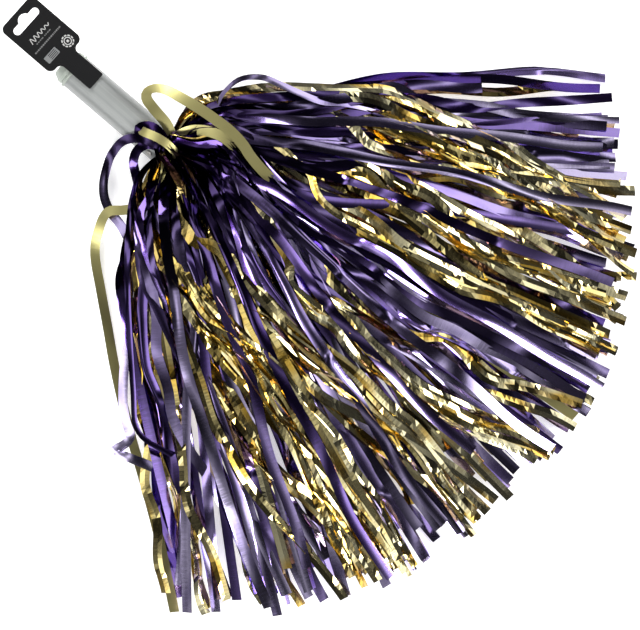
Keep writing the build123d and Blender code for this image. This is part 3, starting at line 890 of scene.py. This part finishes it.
# streamers that spill over the rim and turn down into the fan
for a0, th, col in [
    (-3, -40, "purple"), (5, -30, "purple"), (0, -22, "purple"), (7, -12, "purple"),
    (9, 2, "purple"), (4, 14, "purple"), (10, 28, "purple"), (-6, -45, "purple"), (-5, -33, "gold"),
    (8, -5, "gold"), (11, 40, "purple"),
]:
    back = random.uniform(4, 9)
    al = math.radians(alpha_of(th) + random.uniform(-10, 10))
    lay = 7 if col == "purple" else 6
    x1, y1 = -back, a0 * 1.15
    up1 = random.uniform(36.5, 40)
    p1 = (x1 + 16 * math.cos(al) + 8, y1 + 16 * math.sin(al), up1 + 4)
    p2 = (x1 + 42 * math.cos(al) + 8, y1 + 42 * math.sin(al), up1 + 8)
    m1 = polar(th * 0.9 + random.uniform(-4, 4), 120)
    m2 = polar(th, 220)
    shaped(lay, col, [(1.5, a0, 25), (-1.5, a0 * 1.1, 34), (x1, y1, up1), p1, p2], on=[m1, m2], cut=random.uniform(0, 60),
           roll=still(random.choice([-1, 1]) * random.uniform(55, 85), random.uniform(-15, 15), random.uniform(120, 190)), width=8.6)

total = 0
for (k, colour), b in sorted(layers.items()):
    mat = MAT_GOLD if colour == "gold" else MAT_PURPLE
    o = b.build(mat)
    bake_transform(o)
    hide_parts(f"streamer_layer_{k}_{colour}")
    total += b.count
print("streamers", total, {k: b.count for k, b in layers.items()})
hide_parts("loop_streamer_gold", "curl_streamer_gold")
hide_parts("loop_streamer_purple", "gathered_streamers")

# ---------------------------------------------------------------- the card tag
ROLL = math.radians(18)
TAG_N = Vector((0, math.sin(ROLL), math.cos(ROLL)))
TAG_Y = Vector((0, math.cos(ROLL), -math.sin(ROLL)))
TAG_DIST, TAG_T = 17.3, 0.5


def card(x, y, h=0.0):
    """A point of the card: x along it, y across it, h above its underside, in mm."""
    p = Vector((0, 0, 17.1)) + TAG_N * (TAG_DIST + h) + TAG_Y * y
    return (x, p.y, p.z)


def arc(cx, cy, r, a0, a1, n=10):
    return [
        (cx + r * math.cos(math.radians(a0 + (a1 - a0) * k / n)), cy + r * math.sin(math.radians(a0 + (a1 - a0) * k / n)))
        for k in range(n + 1)
    ]


def outline_tag():
    x0, x1, x2, w, tw = -182.2, -122.7, -88.0, 22.0, 9.3
    pts = []
    pts += arc(x0 + 6, -w + 6, 6, 180, 270)
    pts += arc(x1 - 6, -w + 6, 6, 270, 360)
    pts += [(x1, -tw - 5)]
    pts += arc(x1 + 5, -tw - 5, 5, 180, 90, 6)
    pts += arc(x2 - 1.5, -tw + 1.5, 1.5, 270, 360, 5)
    pts += arc(x2 - 1.5, tw - 1.5, 1.5, 0, 90, 5)
    pts += arc(x1 + 5, tw + 5, 5, 270, 180, 6)
    pts += arc(x1 - 6, w - 6, 6, 0, 90)
    pts += arc(x0 + 6, w - 6, 6, 90, 180)
    return pts


def hang_slot():
    cx, hw, hh, br, sh = -169.9, 16.0, 3.7, 7.0, 0.6
    far, near = cx - hh, cx + hh
    pts = []
    pts += arc(near - 3.7, hw - 3.7, 3.7, 0, 90, 8)
    pts += arc(far + 3.7, hw - 3.7, 3.7, 90, 180, 8)
    pts += arc(cx - sh, 0, br, 116.3, 243.7, 18)
    pts += arc(far + 3.7, -hw + 3.7, 3.7, 180, 270, 8)
    pts += arc(near - 3.7, -hw + 3.7, 3.7, 270, 360, 8)
    return pts


def flat_piece(name, rings, h0, h1, mat, cuts=()):
    """A closed flat plate of the card's frame with the given outer ring and holes."""
    cu = bpy.data.curves.new(name + "_c", "CURVE")
    cu.dimensions = "2D"
    cu.fill_mode = "BOTH"
    cu.extrude = (h1 - h0) / 2 * MM
    for ring in rings:
        sp = cu.splines.new("POLY")
        sp.points.add(len(ring) - 1)
        for i, q in enumerate(ring):
            sp.points[i].co = (q[0] * MM, q[1] * MM, 0, 1)
        sp.use_cyclic_u = True
    tmp = bpy.data.objects.new(name + "_t", cu)
    bpy.context.scene.collection.objects.link(tmp)
    dg = bpy.context.evaluated_depsgraph_get()
    me = bpy.data.meshes.new_from_object(tmp.evaluated_get(dg))
    bpy.data.objects.remove(tmp)
    if cuts:
        bm = bmesh.new()
        bm.from_mesh(me)
        for x in cuts:
            bmesh.ops.bisect_plane(
                bm, geom=bm.verts[:] + bm.edges[:] + bm.faces[:], dist=1e-6, plane_co=(x * MM, 0, 0), plane_no=(1, 0, 0)
            )
        bm.to_mesh(me)
        bm.free()
    mid = (h0 + h1) / 2
    for v in me.vertices:
        v.co = Vector(row(card(v.co.x / MM, v.co.y / MM, mid + v.co.z / MM)))
    me.name = name
    me.materials.clear()
    me.materials.append(mat)
    o = bpy.data.objects.new(name, me)
    bpy.context.scene.collection.objects.link(o)
    return o


FLEX_X = -113.5
# rows of points across the neck, closest together round x = -113.5
NECK = [-160, -140, -128, -124, -121, -119, -117.4, -116, -115.3, -114.6, -113.9, -113.2, -112.5, -111.8, -111.2, -110, -107, -103, -98, -93]
tag = flat_piece("card_tag", [outline_tag(), hang_slot()], 0.0, TAG_T, MAT_CARD, cuts=NECK)
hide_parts("tag_plate", "tag_tail")
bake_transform(tag)


def stroke(pts, w, closed=False):
    """A flat closed ring round a polyline, of width w."""
    left, right = [], []
    n = len(pts)
    for i, (x, y) in enumerate(pts):
        a = pts[max(0, i - 1)]
        b = pts[min(n - 1, i + 1)]
        dx, dy = b[0] - a[0], b[1] - a[1]
        m = math.hypot(dx, dy) or 1
        nx, ny = -dy / m * w / 2, dx / m * w / 2
        left.append((x + nx, y + ny))
        right.append((x - nx, y - ny))
    return left + right[::-1]


marks = []
# a plain wave, a rule, three short dashes and a dashed ring: generic marks only
wave = [(-154.2 + (2.6 - 0.07 * (y + 12)) * math.sin(y * 1.35), y) for y in np.linspace(-12.5, 12.5, 90)]
marks.append(("mark_wave", [stroke(wave, 0.75)], MAT_PRINT))
y = -17.5
while y < 17:
    w = random.uniform(0.9, 2.0)
    marks.append((f"mark_tick_{len(marks)}", [stroke([(-144.7, y), (-144.7, min(17.5, y + w))], 1.3)], MAT_PRINT_DIM))
    y += w + 0.55 + (1.4 if random.random() < 0.12 else 0)
for i, (a, b) in enumerate([(-10, -8.6), (-8, -6.2), (-5.4, -4), (-3.4, -1), (0.8, 2), (2.6, 3.8), (4.6, 6.4), (7, 9)]):
    marks.append((f"mark_dash_{i}", [stroke([(-149.4, a), (-149.4, b)], 0.9)], MAT_PRINT_DIM))
for i in range(10):
    a0 = i * 36
    marks.append((f"mark_ring_{i}", [stroke(arc(-131, 11.3, 5.2, a0, a0 + 25, 5), 1.25)], MAT_PRINT))
marks.append(("mark_ring_in", [arc(-131, 11.3, 3.7, 0, 352.8, 28), arc(-131, 11.3, 2.9, 0, 352.8, 28)], MAT_PRINT))
marks.append(("mark_square", [[(-132.1, 10.2), (-129.9, 10.2), (-129.9, 12.4), (-132.1, 12.4)]], MAT_PRINT))
for i in range(4):
    marks.append((f"mark_bar_{i}", [stroke([(-135.2 + i * 1.5, -11.5), (-135.2 + i * 1.5, -2.4)], 0.6)], MAT_CARD))

joined = {}
for name, rings, mat in marks:
    up = 0.14 if mat is MAT_CARD else 0.02
    o = flat_piece(name, rings, TAG_T + up, TAG_T + up + 0.04, mat)
    joined.setdefault(mat.name, []).append(o)
for mname, group in joined.items():
    if len(group) > 1:
        with bpy.context.temp_override(active_object=group[0], selected_editable_objects=group, object=group[0], selected_objects=group):
            bpy.ops.object.join()
    group[0].name = "marks_" + mname
    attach(group[0], "tag")

# ---------------------------------------------------------------- floor
bpy.ops.mesh.primitive_plane_add(size=14, location=(0, 0, -0.0006))
floor = bpy.context.object
floor.name = "floor"
fm, fnt, fb, fln = new_material("floor_pale")
fb.inputs["Base Color"].default_value = (0.93, 0.93, 0.93, 1)
fb.inputs["Roughness"].default_value = 0.9
fb.inputs["Specular IOR Level"].default_value = 0.1
fb.inputs["Emission Color"].default_value = (1, 1, 1, 1)
fb.inputs["Emission Strength"].default_value = 0.5
floor.data.materials.append(fm)

# ---------------------------------------------------------------- light
world = bpy.data.worlds.new("studio")
bpy.context.scene.world = world
world.use_nodes = True
wn, wl = world.node_tree.nodes, world.node_tree.links
bg = wn["Background"]
bg.inputs["Strength"].default_value = 1.0
tc = wn.new("ShaderNodeTexCoord")
sx = wn.new("ShaderNodeSeparateXYZ")
wl.new(tc.outputs["Generated"], sx.inputs["Vector"])
ramp = wn.new("ShaderNodeValToRGB")
# a dim room: grey ceiling, dark band, pale low walls
els = ramp.color_ramp.elements
els[0].position, els[0].color = 0.0, (0.72, 0.72, 0.73, 1)
els[1].position, els[1].color = 1.0, (0.24, 0.24, 0.245, 1)
e = els.new(0.08)
e.color = (0.55, 0.55, 0.56, 1)
e = els.new(0.18)
e.color = (0.10, 0.10, 0.105, 1)
e = els.new(0.40)
e.color = (0.012, 0.012, 0.013, 1)
wl.new(sx.outputs["Z"], ramp.inputs["Fac"])
# pale panels and dark gaps between them, high up
pn = wn.new("ShaderNodeTexNoise")
pn.inputs["Scale"].default_value = 2.1
pn.inputs["Detail"].default_value = 0.6
wl.new(tc.outputs["Generated"], pn.inputs["Vector"])
pr = wn.new("ShaderNodeValToRGB")
pe = pr.color_ramp.elements
pe[0].position, pe[0].color = 0.43, (0.008, 0.008, 0.009, 1)
pe[1].position, pe[1].color = 0.65, (2.2, 2.2, 2.2, 1)
x = pe.new(0.50)
x.color = (0.055, 0.055, 0.06, 1)
x = pe.new(0.565)
x.color = (0.20, 0.20, 0.205, 1)
x = pe.new(0.60)
x.color = (0.70, 0.70, 0.70, 1)
wl.new(pn.outputs["Fac"], pr.inputs["Fac"])
mx = wn.new("ShaderNodeMix")
mx.data_type = "RGBA"
hi = wn.new("ShaderNodeMapRange")
hi.inputs["From Min"].default_value = 0.12
hi.inputs["From Max"].default_value = 0.4
wl.new(sx.outputs["Z"], hi.inputs["Value"])
wl.new(hi.outputs["Result"], mx.inputs["Factor"])
wl.new(ramp.outputs["Color"], mx.inputs["A"])
wl.new(pr.outputs["Color"], mx.inputs["B"])
wl.new(mx.outputs["Result"], bg.inputs["Color"])


def area(name, loc, size, power, size_y=None, target=(0, 0, 0.02)):
    ld = bpy.data.lights.new(name, "AREA")
    ld.shape = "RECTANGLE"
    ld.size = size
    ld.size_y = size_y or size
    ld.energy = power
    o = bpy.data.objects.new(name, ld)
    bpy.context.scene.collection.objects.link(o)
    o.location = loc
    d = Vector(target) - Vector(loc)
    o.rotation_euler = d.to_track_quat("-Z", "Y").to_euler()
    return o


# soft boxes to the sides, so that flat film reflects the dim space between them
area("soft_left", (-1.9, 1.1, 1.7), 0.9, 44, 1.3)
area("soft_right", (1.8, 1.5, 1.6), 0.85, 38, 1.2)
area("soft_front", (0.5, -2.0, 1.7), 1.2, 42, 0.8)

# ---------------------------------------------------------------- camera
cam_d = bpy.data.cameras.new("camera")
cam = bpy.data.objects.new("camera", cam_d)
bpy.context.scene.collection.objects.link(cam)
cam_d.sensor_width = 36
cam_d.lens = 379.6
centre = Vector(row((196.2, -22.5, 0)))
right = Vector((0.759, 0.651, 0)).normalized()
up = Vector((-0.651, 0.759, 0)).normalized()
back = Vector((0, 0, 1))
from mathutils import Matrix

cam.matrix_world = Matrix(
    (
        (right.x, up.x, back.x, centre.x),
        (right.y, up.y, back.y, centre.y),
        (right.z, up.z, back.z, 6.0),
        (0, 0, 0, 1),
    )
)
cam_d.clip_start = 0.05
cam_d.clip_end = 50
bpy.context.scene.camera = cam
bpy.context.scene.view_settings.view_transform = "Standard"

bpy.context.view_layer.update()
